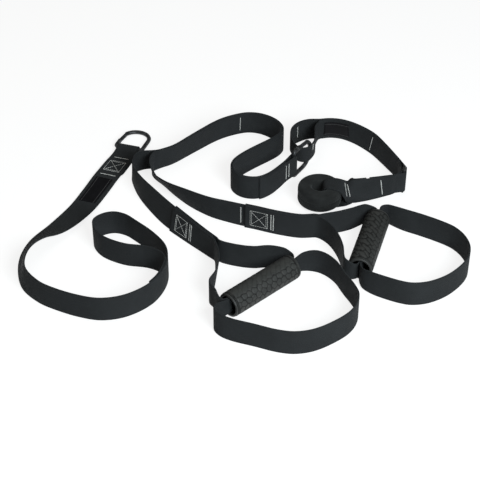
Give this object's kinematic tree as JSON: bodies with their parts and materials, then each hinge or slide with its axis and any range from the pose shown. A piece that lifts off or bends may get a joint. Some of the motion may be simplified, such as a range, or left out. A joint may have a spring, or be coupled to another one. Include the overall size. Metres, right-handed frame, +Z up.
{
  "type": "suspension trainer",
  "caption": "Webbing suspension trainer: sewn straps with two turning grip handles and foot loops, gated carabiners, an extension strap with hand loop and a foam door stop.",
  "frame": {"origin": "on the floor, at the centre of the laid-out trainer's bounding box", "axes": "+Z up from the floor, +X along the layout's longest extent, -Y towards the foot loops at the viewer's side"},
  "size_m": [0.6134, 0.5096, 0.0486],
  "materials": {
    "webbing": "matte woven black",
    "label": "satin black",
    "gun_steel": "dark gunmetal, semi-gloss",
    "dark_steel": "black, semi-gloss",
    "grip_rubber_1": "matte, raised studs",
    "grip_rubber_2": "matte, raised leaf pattern",
    "tube_plastic": "matte",
    "ring_plastic": "satin",
    "stop_foam": "matte, fabric-covered foam"
  },
  "bodies": {
    "main": {"left_leg_webbing": "webbing", "right_leg_webbing": "webbing", "handle_1_yoke": "webbing", "handle_1_foot_cradle": "webbing", "handle_2_yoke": "webbing", "handle_2_foot_cradle": "webbing"},
    "anchor": {"anchor_webbing": "webbing", "anchor_label": "label"},
    "carabiner_1": {"carabiner_1_frame": "gun_steel", "carabiner_1_pin": "dark_steel"},
    "gate_1": {"carabiner_1_gate": "gun_steel"},
    "carabiner_2": {"carabiner_2_frame": "gun_steel", "carabiner_2_pin": "dark_steel"},
    "gate_2": {"carabiner_2_gate": "gun_steel"},
    "door_strap": {"door_strap_webbing": "webbing", "door_label": "label"},
    "ring": {"rectangular_ring": "dark_steel"},
    "door_stop": {"stop_webbing": "webbing", "door_stop_disc": "stop_foam"},
    "grip_1": {"handle_1_sleeve": "grip_rubber_1", "handle_1_tube": "tube_plastic", "handle_1_ring_far": "ring_plastic", "handle_1_ring_near": "ring_plastic"},
    "grip_2": {"handle_2_sleeve": "grip_rubber_2", "handle_2_tube": "tube_plastic", "handle_2_ring_far": "ring_plastic", "handle_2_ring_near": "ring_plastic"}
  },
  "joints": [
    {"name": "anchor_lift", "type": "slide", "parent": "main", "child": "anchor", "axis": [0, 0, 1], "range_m": [0, 0.1]},
    {"name": "carabiner_1_swing", "type": "hinge", "parent": "anchor", "child": "carabiner_1", "pos_m": [-0.1735, 0.1996, 0.00545], "axis": [0.9537, -0.3007, 0], "range_deg": [0, 90]},
    {"name": "gate_1_open", "type": "hinge", "parent": "carabiner_1", "child": "gate_1", "pos_m": [-0.18922, 0.21974, 0.0048], "axis": [-0.0134, -0.0426, -0.999], "range_deg": [0, 25], "stiffness_Nm_per_rad": 0.03, "springref_deg": -17.19},
    {"name": "carabiner_2_swing", "type": "hinge", "parent": "main", "child": "carabiner_2", "pos_m": [0.0755, 0.1291, 0.0243], "axis": [0, 0, 1], "range_deg": [0, 4]},
    {"name": "gate_2_open", "type": "hinge", "parent": "carabiner_2", "child": "gate_2", "pos_m": [0.08318, 0.1414, 0.04535], "axis": [-0.848, 0.5299, 0], "range_deg": [0, 6], "stiffness_Nm_per_rad": 0.03, "springref_deg": -17.19},
    {"name": "door_strap_swing", "type": "hinge", "parent": "carabiner_2", "child": "door_strap", "pos_m": [0.1016, 0.17087, 0.0243], "axis": [0, 0, 1], "range_deg": [-5, 5]},
    {"name": "ring_swing", "type": "hinge", "parent": "door_strap", "child": "ring", "pos_m": [0.23523, 0.1003, 0.0223], "axis": [0, 0, 1], "range_deg": [-6, 6]},
    {"name": "door_stop_swing", "type": "hinge", "parent": "ring", "child": "door_stop", "pos_m": [0.23377, 0.0899, 0.0223], "axis": [0, 0, 1], "range_deg": [-6, 6]},
    {"name": "grip_1_turn", "type": "hinge", "parent": "main", "child": "grip_1", "pos_m": [0.024, -0.1409, 0.0175], "axis": [0.7278, 0.6858, 0], "continuous": true},
    {"name": "grip_2_turn", "type": "hinge", "parent": "main", "child": "grip_2", "pos_m": [0.1735, -0.0504, 0.0175], "axis": [0.2874, 0.9578, 0], "continuous": true}
  ]
}
